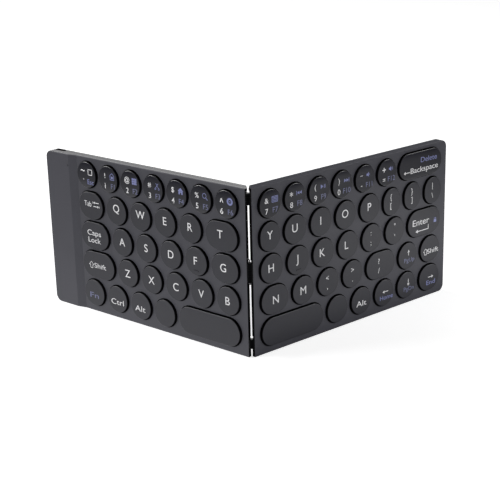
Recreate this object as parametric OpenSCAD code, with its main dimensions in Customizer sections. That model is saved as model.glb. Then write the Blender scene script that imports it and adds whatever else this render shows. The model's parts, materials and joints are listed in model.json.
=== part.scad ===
// Two-part folding keyboard, standing on its front long edges with the hinge towards the viewer.
// Each half is drawn flat: x runs out from its hinge end, y from its front long edge to its rear one,
// z up out of the deck, whose surface is z = 0. place_left() and place_right() then stand the halves up.

/* [Panels] */
// Thickness of a half, deck surface to back
panel_thickness = 6; // [5.8:0.1:7.5]
// Thickness of the deck
deck_thickness = 1; // [0.8:0.1:1.2]
// Thickness of the back wall
floor_thickness = 1.2; // [1:0.1:1.5]
// Thickness of the side walls
side_wall = 1.6; // [1.2:0.1:1.8]
// Depth of the seam between the covers below the deck surface
seam_depth = 2.8; // [2.7:0.05:2.9]
// Height and depth of the shadow groove along the seam
seam_groove = 0.2; // [0.1:0.05:0.3]
// Radius of the two outer corners
outer_corner = 4; // [3.5:0.5:6]
// Radius of the two corners beside the hinge
hinge_corner = 1; // [0.9:0.1:2]
// Rounding of the deck's rim
deck_rim = 0.5; // [0.2:0.1:0.8]
// Rounding of the back's rim
back_rim = 0.8; // [0.3:0.1:0.9]

/* [Control bar] */
// Width of the raised bar at the outer end of the left half
bar_width = 18.8; // [17:0.2:22]
// Width of the slope between the deck and the bar
bar_slope = 5.7; // [5:0.1:7.5]
// Height of the bar above the deck
bar_rise = 1.4; // [1:0.1:1.5]
// Rounding of the slope's rim
slope_rim = 0.62; // [0.4:0.01:0.8]

/* [Keys] */
// Diameter of a round key's hole
key_hole = 16.8; // [16.4:0.1:17.2]
// How much smaller a number key's hole is
number_step = 0.7; // [0.4:0.1:1]
// Rib between neighbouring holes of a row
key_rib = 1.8; // [1.6:0.1:2]
// Rib between neighbouring holes of the number row
number_rib = 1.2; // [1:0.1:1.4]
// Rib between one row of holes and the next
row_gap = 0.75; // [0.6:0.05:1]
// Deck in front of the first row of holes
front_margin = 3.3; // [3:0.05:3.6]
// Deck behind the number row
rear_margin = 2.05; // [1.9:0.05:2.4]
// Deck between the hinge end and the first hole of each row of the left half
left_hinge_margin = 4.6; // [4.4:0.1:5]
// Deck between the hinge end and the first hole of each row of the right half
right_hinge_margin = 4.15; // [4:0.05:4.6]
// Deck between the last key holes and the slope of the bar
bar_margin = 0.5; // [0.4:0.1:2]
// Deck between the last key holes and the outer end of the right half
outer_margin = 4.9; // [4.6:0.1:5.4]
// Width of the left space key's hole
left_space_width = 45; // [40:0.1:46]
// Width of the right space key's hole
right_space_width = 45.8; // [42:0.1:47]
// Width of the T key's hole
width_t = 23.3; // [20:0.1:25]
// Width of the G key's hole
width_g = 20; // [18:0.1:22]
// Width of the N key's hole
width_n = 20.3; // [18:0.1:21]
// Width of the Y key's hole
width_y = 15.1; // [14.4:0.1:15.5]
// Width of the two bracket keys' holes
bracket_width = 15.2; // [14.5:0.1:15.5]
// Width of the slash key's hole
slash_width = 24.4; // [22:0.1:25.5]
// Gap between a key and its hole
key_gap = 0.55; // [0.4:0.05:0.7]
// Height of a key above the deck
key_rise = 1.3; // [1.25:0.05:1.4]
// Travel of a key
key_travel = 1.2; // [1:0.05:1.25]
// Thickness of a key's top
cap_thickness = 1; // [0.8:0.1:1.2]
// Thickness of a key's skirt
skirt_wall = 0.8; // [0.6:0.1:1]
// Depth of a key's skirt below the deck surface
skirt_depth = 1.4; // [1.2:0.05:1.45]
// Rounding of a key's rim
key_rim = 0.4; // [0.2:0.05:0.6]
// Length of the homing bar on the F and J keys
homing_length = 3.2; // [2:0.1:4]
// Width of the homing bar
homing_width = 0.6; // [0.4:0.1:1]
// Height of the homing bar
homing_rise = 0.2; // [0.1:0.05:0.25]
// Distance of the homing bar from the middle of its key
homing_offset = 5.2; // [4:0.1:6]

/* [Key guides] */
// Outer radius of a key's stem
stem_radius = 2; // [1.9:0.05:2.1]
// Wall of the hollow stem
stem_wall = 0.6; // [0.5:0.05:0.7]
// Clearance between a pressed key's stem and the dome sheet
stem_clearance = 0.35; // [0.3:0.05:0.45]
// Clearance between a stem and its guide
guide_clearance = 0.1; // [0.05:0.01:0.15]
// Wall of a guide
guide_wall = 0.7; // [0.5:0.05:0.75]
// Clearance between a pressed key's top and its guide
guide_headroom = 1; // [0.9:0.05:1.1]
// Distance between the two stems of a space key
stem_spread = 22.7; // [18:0.1:26]
// Thickness of the guide frame
frame_thickness = 0.5; // [0.4:0.05:0.6]
// Thickness of the steel plate under the keys
plate_thickness = 0.4; // [0.3:0.05:0.5]
// Thickness of the sheet that carries the rubber domes
sheet_thickness = 0.25; // [0.2:0.01:0.3]
// Radius of a dome at its foot
dome_radius = 1.25; // [1:0.05:1.3]
// Gap between a dome and the stem above it
dome_gap = 0.3; // [0.25:0.05:0.4]
// Distance of the dome sheet and the guide frame from the hinge plate
sheet_setback = 1; // [0.9:0.05:1.2]
// Gap between the steel plate and the land of the hinge plate
plate_gap = 0.1; // [0.05:0.01:0.2]
// Gap round the sheets
sheet_gap = 0.4; // [0.2:0.1:0.6]

/* [Hinge] */
// How far each half is folded back from flat, in the standing pose
fold_back = 40.5; // [36:0.5:42]
// Height of the hinge axis above the deck surface
axis_height = 1.6; // [1.6:0.05:1.8]
// Gap between the two hinge ends with the keyboard flat
hinge_gap = 6.1; // [6:0.1:7]
// Depth of the upright lip of a hinge end, above its 45 degree bevel
lip_depth = 1.4; // [1.35:0.05:1.45]
// Radius of the hinge barrels
barrel_radius = 1.5; // [1.45:0.05:1.6]
// Radius of the hinge pins
pin_radius = 0.75; // [0.7:0.05:0.8]
// Clearance of a pin in its barrel
pin_clearance = 0.03; // [0.02:0.01:0.05]
// Radius of the bore through the middle pin
pin_bore = 0.42; // [0.4:0.01:0.45]
// Length of the front hinge
front_hinge_length = 4.8; // [4.5:0.1:6]
// Length of the rear hinge
rear_hinge_length = 5.9; // [5.4:0.1:6.2]
// Length of the middle hinge
middle_hinge_length = 10.4; // [9:0.1:12]
// Distance of the front hinge from the front edge
front_hinge_inset = 7; // [6.5:0.1:7.5]
// Distance of the rear hinge from the rear edge
rear_hinge_inset = 1.45; // [1.3:0.05:1.8]
// Gap between neighbouring knuckles
knuckle_gap = 0.1; // [0.05:0.01:0.15]
// Depth of the pockets for the hinge arms, square to the bevel
pocket_depth = 1.15; // [1.1:0.05:1.2]
// How far the pockets reach below the hinge plate
pocket_reach = 0.7; // [0.6:0.05:0.8]
// Web between the pockets and the hollow of the upper cover
hinge_web = 0.17; // [0.1:0.01:0.3]
// Clearance between an arm and its pocket
arm_clearance = 0.1; // [0.05:0.01:0.15]
// Thickness of a hinge arm
arm_thickness = 0.8; // [0.7:0.05:0.85]
// Thickness of a hinge plate
leaf_thickness = 0.7; // [0.6:0.05:0.75]
// Distance of the hinge plate from the hinge end
leaf_start = 3.6; // [3.55:0.05:3.7]
// Width of the hinge plate
leaf_width = 3.4; // [3.2:0.1:3.5]
// Distance of the hinge plate from the long edges
leaf_margin = 2.2; // [1.9:0.1:2.5]

/* [Cable across the hinge] */
// Radius of the cable between the halves
cable_radius = 0.33; // [0.25:0.01:0.34]
// Clearance round the cable in its hole
cable_clearance = 0.1; // [0.05:0.01:0.15]
// Distance of the cable's holes from the ends of the middle hinge
cable_offset = 1.2; // [1:0.1:1.3]
// How much thicker the cable is at its bends
bend_swell = 0.03; // [0.02:0.01:0.05]
// Depth of the cable's run below the deck surface
cable_depth = 2.1; // [2:0.05:2.2]
// Distance from the hinge end at which the cable turns level
cable_turn = 1.8; // [1.75:0.05:1.9]
// Distance from the hinge end at which the right cable turns aside
cable_corner = 4.9; // [4.6:0.05:5]
// How far the right cable turns aside, clear of the H key
cable_step = 2.2; // [2.1:0.05:2.3]

/* [Inside] */
// Radius of the screw bosses
boss_radius = 1.9; // [1.7:0.05:2]
// Clearance between a boss and the walls of the lower cover
boss_clearance = 0.1; // [0.05:0.01:0.15]
// How far the rear screws reach in under the number row
rear_screw_inset = 1.1; // [0.9:0.1:1.2]
// How far the front screws sit before the first row of holes
front_screw_inset = 0.25; // [0.1:0.05:0.4]
// Radius of a cover screw's shank
screw_radius = 0.6; // [0.5:0.05:0.7]
// Radius of a cover screw's head
screw_head = 1.3; // [1.1:0.05:1.4]
// Thickness of a screw's head
head_thickness = 0.45; // [0.4:0.05:0.5]
// Length of a screw's shank
screw_length = 2.6; // [2:0.1:2.8]
// Radius of a hinge plate screw's head
leaf_screw_head = 1; // [0.9:0.05:1.1]
// Length of a hinge plate screw's shank
leaf_screw_length = 1.7; // [1.5:0.1:1.8]
// Clearance round a screw's shank
screw_clearance = 0.03; // [0.02:0.01:0.05]
// Width of the battery
battery_width = 13.5; // [12:0.5:14]
// Length of the battery
battery_length = 54; // [40:1:56]
// Thickness of the battery
battery_thickness = 4; // [3:0.1:4.2]
// Width of the battery's sealed seam
battery_seal = 1.2; // [0.8:0.1:1.5]
// Gap between the battery and the magnets
battery_gap = 0.4; // [0.3:0.1:0.6]
// Width of the circuit board
board_width = 16; // [14:0.5:16]
// Length of the circuit board
board_length = 24; // [20:1:26]
// Thickness of the circuit board
board_thickness = 0.8; // [0.6:0.1:1]
// Width of the chip on the circuit board
chip_width = 5; // [4:0.5:6]
// Height of the chip
chip_height = 0.9; // [0.7:0.1:1]
// Distance of the small chip from the edges of the circuit board
chip_inset = 1; // [0.8:0.1:1.5]
// Height of the lamp on the circuit board
lamp_height = 0.5; // [0.4:0.1:0.7]
// Free space between the outer wall and the circuit board
bay_gap = 2.8; // [2.6:0.1:3.2]
// Width of a magnet
magnet_width = 2.2; // [2:0.1:2.4]
// Length of a magnet
magnet_length = 12; // [10:0.5:15]
// Thickness of a magnet
magnet_thickness = 1.6; // [1.2:0.1:1.7]
// Gap between a magnet and the outer wall
magnet_gap = 0.2; // [0.1:0.1:0.3]
// Distance of a magnet's middle from the long edges
magnet_inset = 23; // [20:0.5:26]
// Radius of a rubber foot
foot_radius = 3.5; // [3:0.1:5]
// Thickness of a rubber foot
foot_thickness = 0.6; // [0.4:0.1:1]
// Distance of a foot's middle from the edges of the back
foot_inset = 12; // [10:0.5:16]

/* [Charging socket and lamp] */
// Width of the socket's metal shell
socket_width = 7.6; // [7.4:0.1:9]
// Height of the socket's metal shell
socket_height = 2.6; // [2.4:0.1:3]
// Length of the socket
socket_length = 5.4; // [5:0.1:7]
// Thickness of the socket's metal shell
socket_wall = 0.3; // [0.25:0.05:0.4]
// Thickness of the socket's tongue
tongue_thickness = 0.6; // [0.5:0.1:0.8]
// How far the tongue sits behind the mouth, and the thickness of the socket's closed end
tongue_setback = 1; // [0.8:0.1:1.5]
// Clearance between the socket and its cut-out
socket_clearance = 0.15; // [0.1:0.05:0.2]
// Gap between the socket and the notch in the circuit board
socket_gap = 0.3; // [0.2:0.1:0.5]
// Distance of the socket's middle from the outer end
socket_inset = 7.8; // [7.6:0.1:9]
// Radius of the status lamp's lens
lens_radius = 0.55; // [0.4:0.05:0.7]
// Distance of the lens from the inner edge of the bar
lens_inset = 0.8; // [0.7:0.1:1.5]
// Distance of the lens from the rear edge
lens_from_rear = 6.6; // [6:0.1:10]
// Clearance round the lens
lens_clearance = 0.03; // [0.02:0.01:0.05]

/* [Hidden] */
$fn = 48;

number_row = 4;
number_keys = 7;
number_hole = key_hole - number_step;
row_pitch = key_hole + row_gap;
row_middle = front_margin + key_hole / 2;
panel_height = row_middle + number_row * row_pitch + number_hole / 2 + rear_margin;
left_field_end = left_hinge_margin + number_keys * number_hole + (number_keys - 1) * number_rib;
slope_start = left_field_end + bar_margin;
bar_start = slope_start + bar_slope;
panel_length = bar_start + bar_width;
right_field_end = panel_length - outer_margin;

// Keys of each row, front row first, from the hinge outwards: the node each belongs to and its width.
// The outer key of a row takes what is left.
rest = 0;
left_rows = [
    [["key_space_left", left_space_width], ["keys_control_left", key_hole],
        ["keys_control_left", key_hole], ["keys_control_left", key_hole],
        ["keys_control_left", rest]],
    [["key_b", key_hole], ["key_v", key_hole], ["key_c", key_hole], ["key_x", key_hole],
        ["key_z", key_hole], ["keys_control_left", rest]],
    [["key_g", width_g], ["key_f", key_hole], ["key_d", key_hole], ["key_s", key_hole],
        ["key_a", key_hole], ["keys_control_left", rest]],
    [["key_t", width_t], ["key_r", key_hole], ["key_e", key_hole], ["key_w", key_hole],
        ["key_q", key_hole], ["keys_control_left", rest]],
    [for (i = [1:number_keys]) ["keys_number_left", i < number_keys ? number_hole : rest]]
];
right_rows = [
    [["key_space_right", right_space_width], ["keys_control_right", key_hole],
        ["keys_control_right", key_hole], ["keys_control_right", key_hole],
        ["keys_control_right", key_hole], ["keys_control_right", rest]],
    [["key_n", width_n], ["key_m", key_hole], ["keys_punctuation", key_hole],
        ["keys_punctuation", key_hole], ["keys_punctuation", slash_width],
        ["keys_control_right", key_hole], ["keys_control_right", rest]],
    [["key_h", key_hole], ["key_j", key_hole], ["key_k", key_hole], ["key_l", key_hole],
        ["keys_punctuation", key_hole], ["keys_punctuation", key_hole], ["key_enter", rest]],
    [["key_y", width_y], ["key_u", key_hole], ["key_i", key_hole], ["key_o", key_hole],
        ["key_p", key_hole], ["keys_punctuation", bracket_width],
        ["keys_punctuation", bracket_width], ["keys_punctuation", rest]],
    [for (i = [1:number_keys])
        i < number_keys ? ["keys_number_right", number_hole] : ["key_backspace", rest]]
];

function row_rib(row) = row == number_row ? number_rib : key_rib;
function row_height(row) = row == number_row ? number_hole : key_hole;
// Place at which key i of a row starts
function key_start(keys, i, rib, margin) =
    i == 0 ? margin : key_start(keys, i - 1, rib, margin) + keys[i - 1][1] + rib;
function key_width(keys, i, start, field_end) = keys[i][1] == rest ? field_end - start : keys[i][1];
// Every key as [node, middle x, middle y, width, height]
function key_list(rows, margin, field_end) = [
    for (row = [0:len(rows) - 1])
        for (i = [0:len(rows[row]) - 1])
            let (start = key_start(rows[row], i, row_rib(row), margin),
                w = key_width(rows[row], i, start, field_end))
                [rows[row][i][0], start + w / 2, row_middle + row * row_pitch, w, row_height(row)]
];
left_keys = key_list(left_rows, left_hinge_margin, left_field_end);
right_keys = key_list(right_rows, right_hinge_margin, right_field_end);
// Stems of a key, as offsets from its middle
function stem_offsets(width) = width > 1.5 * stem_spread ? [-stem_spread / 2, stem_spread / 2] : [0];

// Depths inside a half
floor_top = floor_thickness - panel_thickness;
plate_top = floor_top + plate_thickness;
sheet_top = plate_top + sheet_thickness;
frame_top = sheet_top + frame_thickness;
leaf_top = -seam_depth;
leaf_bottom = leaf_top - leaf_thickness;
leaf_end = leaf_start + leaf_width;
plate_start = leaf_end + plate_gap;
sheet_start = leaf_end + sheet_setback;
stem_depth = -sheet_top - key_travel - stem_clearance;
guide_depth = key_travel + guide_headroom - key_rise + cap_thickness;
stem_bore = stem_radius - stem_wall;
guide_bore = stem_radius + guide_clearance;
guide_radius = guide_bore + guide_wall;
dome_height = -stem_depth - dome_gap - sheet_top;
dome_tip_radius = dome_radius * 2 / 3;

// Hinge axis seen from a half, and its hinges from the front edge to the rear one: [middle, length]
axis_x = -hinge_gap / 2;
front_hinge = front_hinge_inset + front_hinge_length / 2;
rear_hinge = panel_height - rear_hinge_inset - rear_hinge_length / 2;
hinge_middle = (front_hinge + rear_hinge) / 2;
hinges = [[front_hinge, front_hinge_length], [hinge_middle, middle_hinge_length],
    [rear_hinge, rear_hinge_length]];
bore_radius = pin_radius + pin_clearance;
// Lines at 45 degrees are x + z = constant; these are the constants
diagonal = sqrt(2);
bevel_line = -lip_depth;
pocket_line = bevel_line + pocket_depth * diagonal;
arm_inner_line = pocket_line - arm_clearance * diagonal;
arm_outer_line = arm_inner_line - arm_thickness * diagonal;
pocket_bottom = leaf_bottom - pocket_reach;
hinge_wall = pocket_line + seam_depth + hinge_web;
left_cable_y = hinge_middle + middle_hinge_length / 2 + cable_offset;
right_cable_y = hinge_middle - middle_hinge_length / 2 - cable_offset;
cable_end = leaf_end + (sheet_start - leaf_end) / 2;

// Screws sit in the corners between keys
rear_screw_y = row_middle + number_row * row_pitch + number_hole / 2 - rear_screw_inset;
front_screw_y = front_margin - front_screw_inset;
function rib_middle(rows, margin, row, i) =
    key_start(rows[row], i, row_rib(row), margin) - row_rib(row) / 2;
function screw_places(rows, margin) = [
    for (i = [1, 3, 5]) [rib_middle(rows, margin, number_row, i), rear_screw_y],
    for (i = [1, 3]) [rib_middle(rows, margin, 0, i), front_screw_y]
];
left_screw_places = screw_places(left_rows, left_hinge_margin);
right_screw_places = screw_places(right_rows, right_hinge_margin);
leaf_screw_x = leaf_start + leaf_width / 2;
leaf_screw_places = [for (i = [0, 1, 3]) row_middle + (i + 0.5) * row_pitch];
foot_places = [for (x = [foot_inset, panel_length - foot_inset])
    for (y = [foot_inset, panel_height - foot_inset]) [x, y]];

// Bay for the battery and the circuit board, under the bar
bay_end = panel_length - side_wall;
magnet_x = bay_end - magnet_width - magnet_gap;
battery_x = magnet_x - battery_gap - battery_width;
board_x = bay_end - bay_gap - board_width;
board_y = panel_height - side_wall - board_length;
board_top = floor_top + board_thickness;
bay_top = bar_rise - deck_thickness;
magnet_places = [magnet_inset, panel_height - magnet_inset];
socket_x = panel_length - socket_inset;
socket_z = floor_top + socket_height / 2;
lens_x = bar_start + lens_inset;
lens_y = panel_height - lens_from_rear;

// Standing pose: the hinge axis is upright, and the origin is the middle of the footprint
function reach_x(x, z, rim) = (x - rim - axis_x) * cos(fold_back) + (z - rim - axis_height) * sin(fold_back) + rim;
left_reach = reach_x(panel_length, bar_rise, deck_rim);
right_reach = reach_x(panel_length, 0, deck_rim);
rear_reach = (panel_length - back_rim - axis_x) * sin(fold_back)
    + (panel_thickness - back_rim + axis_height) * cos(fold_back) + back_rim;
stand_x = (left_reach - right_reach) / 2;
stand_y = (barrel_radius - rear_reach) / 2;
slack = 1;

module half_pose() {
    rotate([0, 0, fold_back])
        translate([-axis_x, axis_height, 0])
            rotate([90, 0, 0])
                children();
}

module place_right() {
    translate([stand_x, stand_y, 0])
        half_pose()
            children();
}

module place_left() {
    translate([stand_x, stand_y, 0])
        mirror([1, 0, 0])
            half_pose()
                children();
}

// Half of an upright section whose upper outer edge is rounded
module rim_section(reach, low, high, rim) {
    translate([0, low])
        square([reach, high - low - rim]);
    translate([0, low])
        square([reach - rim, high - low]);
    translate([reach - rim, high - rim])
        circle(rim);
}

module corner(x, y, turn, radius, low, high, rim) {
    translate([x, y, 0])
        rotate([0, 0, turn])
            rotate_extrude(angle = 90)
                intersection() {
                    rim_section(radius, low, high, rim);
                    translate([0, low - slack])
                        square([radius + slack, high - low + 2 * slack]);
                }
}

// Slab from x = from to x = to over the whole height of a half
module middle_slab(from, to, low, high, rim) {
    translate([from, panel_height / 2, 0])
        rotate([90, 0, 90])
            linear_extrude(to - from) {
                rim_section(panel_height / 2, low, high, rim);
                mirror([1, 0])
                    rim_section(panel_height / 2, low, high, rim);
            }
}

module hinge_end_slab(low, high, radius, rim) {
    corner(radius, radius, 180, radius, low, high, rim);
    corner(radius, panel_height - radius, 90, radius, low, high, rim);
    translate([radius, panel_height - radius, 0])
        rotate([90, 0, 0])
            linear_extrude(panel_height - 2 * radius)
                mirror([1, 0])
                    rim_section(radius, low, high, rim);
}

module outer_end_slab(low, high, radius, rim) {
    corner(panel_length - radius, radius, 270, radius, low, high, rim);
    corner(panel_length - radius, panel_height - radius, 0, radius, low, high, rim);
    translate([panel_length - radius, panel_height - radius, 0])
        rotate([90, 0, 0])
            linear_extrude(panel_height - 2 * radius)
                rim_section(radius, low, high, rim);
}

// Deck, the slope that rises from it and the bar, with the slope's rim rounded a little more
module deck_with_bar(low) {
    middle_slab(hinge_corner, slope_start + bar_slope / 2, low, 0, deck_rim);
    intersection() {
        middle_slab(slope_start - slack, panel_length - outer_corner, low, bar_rise, deck_rim);
        translate([slope_start, 0, 0])
            rotate([0, -atan(bar_rise / bar_slope), 0])
                translate([-slope_start, 0, 0])
                    middle_slab(slope_start - 2 * slack, panel_length + slack, low - bar_width, 0,
                        slope_rim);
    }
}

// Everything beyond a line at 45 degrees at the hinge end, from y = from to y = to, down to a depth
module beyond_line(line, from, to, bottom) {
    translate([0, to, 0])
        rotate([90, 0, 0])
            linear_extrude(to - from)
                polygon([[-slack, line + slack], [-slack, bottom], [line - bottom, bottom]]);
}

module bevel_cut() {
    beyond_line(bevel_line, -slack, panel_height + slack, -panel_thickness - slack);
}

// Pockets in a hinge end for the arms of its own and the other half's leaf
module arm_pockets() {
    for (hinge = hinges)
        beyond_line(pocket_line, hinge[0] - hinge[1] / 2 - arm_clearance,
            hinge[0] + hinge[1] / 2 + arm_clearance, pocket_bottom);
}

// Outline of a key or its hole: round, or with two round ends
module key_outline(width, height) {
    radius = min(width, height) / 2;
    for (side = [-1, 1])
        translate([side * (width / 2 - radius), side * (height / 2 - radius)])
            circle(radius);
    square([max(width - 2 * radius, 0.001), height], center = true);
    square([width, max(height - 2 * radius, 0.001)], center = true);
}

module key_holes(keys) {
    for (key = keys)
        translate([key[1], key[2], -deck_thickness - slack])
            linear_extrude(deck_thickness + 2 * slack)
                key_outline(key[3], key[4]);
}

module screw_bosses(places) {
    for (place = places)
        translate([place[0], place[1], floor_top])
            cylinder(r = boss_radius, h = -floor_top - deck_thickness / 2);
}

// Room for the bosses in the walls of a lower cover
module boss_room(places) {
    for (place = places)
        translate([place[0], place[1], floor_top])
            cylinder(r = boss_radius + boss_clearance, h = -floor_top);
}

module screw_holes(places) {
    for (place = places) {
        translate([place[0], place[1], -panel_thickness - slack])
            cylinder(r = screw_radius + screw_clearance, h = head_thickness + screw_length + slack);
        translate([place[0], place[1], -panel_thickness - slack])
            cylinder(r = screw_head + screw_clearance, h = head_thickness + slack);
    }
}

// Round hole from the hinge axis into the hinge end, then level, for the cable
module cable_hole(y) {
    cable_run(y, cable_radius + cable_clearance, cable_clearance, hinge_wall + slack);
}

// Slanting and level runs of the cable, up to x = to, with a ball at the bend
module cable_run(y, radius, swell, to) {
    rise = axis_height + cable_depth;
    run = cable_turn - axis_x;
    translate([cable_turn, y, -cable_depth]) {
        rotate([0, -90 + atan(rise / run), 0])
            cylinder(r = radius, h = sqrt(rise * rise + run * run));
        rotate([0, 90, 0])
            cylinder(r = radius, h = to - cable_turn);
        sphere(radius + swell);
    }
}

module cover_walls(high) {
    translate([hinge_wall, side_wall, -seam_depth - slack])
        cube([panel_length - side_wall - hinge_wall, panel_height - 2 * side_wall,
            seam_depth + slack - deck_thickness + high]);
}

// Shadow groove round the lower edge of an upper cover
module seam_ring() {
    difference() {
        translate([-slack, -slack, -seam_depth - slack])
            cube([panel_length + 2 * slack, panel_height + 2 * slack, slack + seam_groove]);
        inner_slab(-seam_depth - 2 * slack, 0);
    }
}

// Plain slab inside the outline by the depth of the groove
module inner_slab(low, high) {
    inset = seam_groove;
    radius = outer_corner - inset;
    translate([-2 * slack, inset, low])
        cube([panel_length + 2 * slack - inset - radius, panel_height - 2 * inset, high - low]);
    translate([panel_length - inset - radius - slack, inset + radius, low])
        cube([radius + slack, panel_height - 2 * inset - 2 * radius, high - low]);
    for (y = [inset + radius, panel_height - inset - radius])
        translate([panel_length - inset - radius, y, low])
            cylinder(r = radius, h = high - low);
}

module socket_shape(grow) {
    radius = socket_height / 2;
    for (side = [-1, 1])
        translate([side * (socket_width / 2 - radius), 0])
            circle(radius + grow);
    square([socket_width - 2 * radius, socket_height + 2 * grow], center = true);
}

module socket_cut() {
    translate([socket_x, panel_height + slack, socket_z])
        rotate([90, 0, 0])
            linear_extrude(side_wall + 2 * slack)
                socket_shape(socket_clearance);
}

module left_top_cover() {
    color("#505054")
        place_left()
            difference() {
                union() {
                    difference() {
                        union() {
                            hinge_end_slab(-seam_depth, 0, hinge_corner, deck_rim);
                            deck_with_bar(-seam_depth);
                            outer_end_slab(-seam_depth, bar_rise, outer_corner, deck_rim);
                        }
                        cover_walls(0);
                        translate([bar_start, side_wall, -seam_depth])
                            cube([bay_end - bar_start, panel_height - 2 * side_wall,
                                seam_depth + bay_top]);
                        key_holes(left_keys);
                    }
                    screw_bosses(left_screw_places);
                }
                bevel_cut();
                arm_pockets();
                seam_ring();
                screw_holes(left_screw_places);
                cable_hole(left_cable_y);
                socket_cut();
                translate([lens_x, lens_y, 0])
                    cylinder(r = lens_radius + lens_clearance, h = bar_rise + slack);
            }
}

module right_top_cover() {
    color("#505054")
        place_right()
            difference() {
                union() {
                    difference() {
                        union() {
                            hinge_end_slab(-seam_depth, 0, hinge_corner, deck_rim);
                            middle_slab(hinge_corner, panel_length - outer_corner, -seam_depth, 0,
                                deck_rim);
                            outer_end_slab(-seam_depth, 0, outer_corner, deck_rim);
                        }
                        cover_walls(0);
                        key_holes(right_keys);
                    }
                    screw_bosses(right_screw_places);
                }
                bevel_cut();
                arm_pockets();
                seam_ring();
                screw_holes(right_screw_places);
                cable_hole(right_cable_y);
            }
}

// Lower cover with the land that carries the hinge plate
module base_cover(screw_places) {
    difference() {
        mirror([0, 0, 1]) {
            hinge_end_slab(seam_depth, panel_thickness, hinge_corner, back_rim);
            middle_slab(hinge_corner, panel_length - outer_corner, seam_depth, panel_thickness,
                back_rim);
            outer_end_slab(seam_depth, panel_thickness, outer_corner, back_rim);
        }
        translate([leaf_end, side_wall, floor_top])
            cube([bay_end - leaf_end, panel_height - 2 * side_wall, -floor_top]);
        translate([leaf_start, leaf_margin, leaf_bottom])
            cube([leaf_width + slack, panel_height - 2 * leaf_margin, slack + leaf_thickness]);
        for (hinge = hinges)
            translate([0, hinge[0] - hinge[1] / 2 - arm_clearance, leaf_bottom])
                cube([leaf_start + slack, hinge[1] + 2 * arm_clearance, leaf_thickness + slack]);
        for (y = leaf_screw_places)
            translate([leaf_screw_x, y, leaf_top - leaf_screw_length])
                cylinder(r = screw_radius + screw_clearance, h = leaf_screw_length);
        bevel_cut();
        arm_pockets();
        boss_room(screw_places);
        screw_holes(screw_places);
    }
}

module left_base_cover() {
    color("#4a4b50")
        place_left()
            difference() {
                base_cover(left_screw_places);
                socket_cut();
            }
}

module right_base_cover() {
    color("#4a4b50")
        place_right()
            base_cover(right_screw_places);
}

// Knuckles of a hinge as [from, to]: the left half has the outer two, the right half the inner one
function outer_knuckles(hinge) =
    let (part = (hinge[1] - 2 * knuckle_gap) / 3, start = hinge[0] - hinge[1] / 2)
        [[start, start + part], [start + hinge[1] - part, start + hinge[1]]];
function inner_knuckles(hinge) =
    let (part = (hinge[1] - 2 * knuckle_gap) / 3)
        [[hinge[0] - part / 2, hinge[0] + part / 2]];

module knuckle(span) {
    inner_foot = (arm_inner_line - axis_x - axis_height) / 2;
    outer_foot = (arm_outer_line - axis_x - axis_height) / 2;
    translate([axis_x, span[1], axis_height])
        rotate([90, 0, 0])
            cylinder(r = barrel_radius, h = span[1] - span[0]);
    translate([0, span[1], 0])
        rotate([90, 0, 0])
            linear_extrude(span[1] - span[0])
                polygon([[arm_outer_line - leaf_bottom, leaf_bottom],
                    [leaf_start + arm_thickness, leaf_bottom],
                    [leaf_start + arm_thickness, leaf_top],
                    [arm_inner_line - leaf_top, leaf_top],
                    [axis_x + inner_foot, axis_height + inner_foot],
                    [axis_x + outer_foot, axis_height + outer_foot]]);
}

module hinge_leaf(spans) {
    difference() {
        union() {
            translate([leaf_start, leaf_margin, leaf_bottom])
                cube([leaf_width, panel_height - 2 * leaf_margin, leaf_thickness]);
            for (span = spans)
                knuckle(span);
        }
        translate([axis_x, panel_height, axis_height])
            rotate([90, 0, 0])
                cylinder(r = bore_radius, h = panel_height);
        for (y = leaf_screw_places)
            translate([leaf_screw_x, y, leaf_bottom - slack])
                cylinder(r = screw_radius + screw_clearance, h = leaf_thickness + 2 * slack);
    }
}

module left_hinge_leaf() {
    color("#1c1c1e")
        place_left()
            hinge_leaf([for (hinge = hinges) for (span = outer_knuckles(hinge)) span]);
}

module right_hinge_leaf() {
    color("#1c1c1e")
        place_right()
            hinge_leaf([for (hinge = hinges) for (span = inner_knuckles(hinge)) span]);
}

module hinge_pins() {
    color("#b9bbc0")
        place_left()
            translate([axis_x, 0, axis_height])
                for (hinge = hinges)
                    translate([0, hinge[0] + hinge[1] / 2, 0])
                        rotate([90, 0, 0])
                            difference() {
                                cylinder(r = pin_radius, h = hinge[1]);
                                if (hinge[0] == hinge_middle)
                                    translate([0, 0, -slack])
                                        cylinder(r = pin_bore, h = hinge[1] + 2 * slack);
                            }
}

// Straight round rod between two points
module rod(start, end, radius) {
    run = end - start;
    translate(start)
        rotate([0, acos(run[2] / norm(run)), atan2(run[1], run[0])])
            cylinder(r = radius, h = norm(run));
}

// Cable of one half, from the middle of the hollow hinge pin to its circuit sheet, with a ball at each
// bend; it steps aside by some way behind the hinge wall
module link_cable(y, pin_middle, step) {
    way = concat([[axis_x, pin_middle, axis_height], [axis_x, y, axis_height],
        [cable_turn, y, -cable_depth]],
        step > 0 ? [[cable_corner, y, -cable_depth], [cable_corner, y - step, -cable_depth]] : [],
        [[cable_end, y - step, -cable_depth], [cable_end, y - step, plate_top]]);
    for (i = [1:len(way) - 1])
        rod(way[i - 1], way[i], cable_radius);
    for (i = [1:len(way) - 2])
        translate(way[i])
            sphere(cable_radius + bend_swell);
}

module left_link_cable() {
    color("#2a2a2c")
        place_left()
            link_cable(left_cable_y, hinge_middle, 0);
}

module right_link_cable() {
    color("#2a2a2c")
        place_right()
            link_cable(right_cable_y, hinge_middle, cable_step);
}

// Flat sheet under the keys, clear of the screw bosses
module sheet(start, end, bottom, thickness, screw_places) {
    difference() {
        translate([start, side_wall + sheet_gap, bottom])
            cube([end - start, panel_height - 2 * (side_wall + sheet_gap), thickness]);
        for (place = screw_places)
            translate([place[0], place[1], bottom - slack])
                cylinder(r = boss_radius + sheet_gap, h = thickness + 2 * slack);
    }
}

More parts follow.
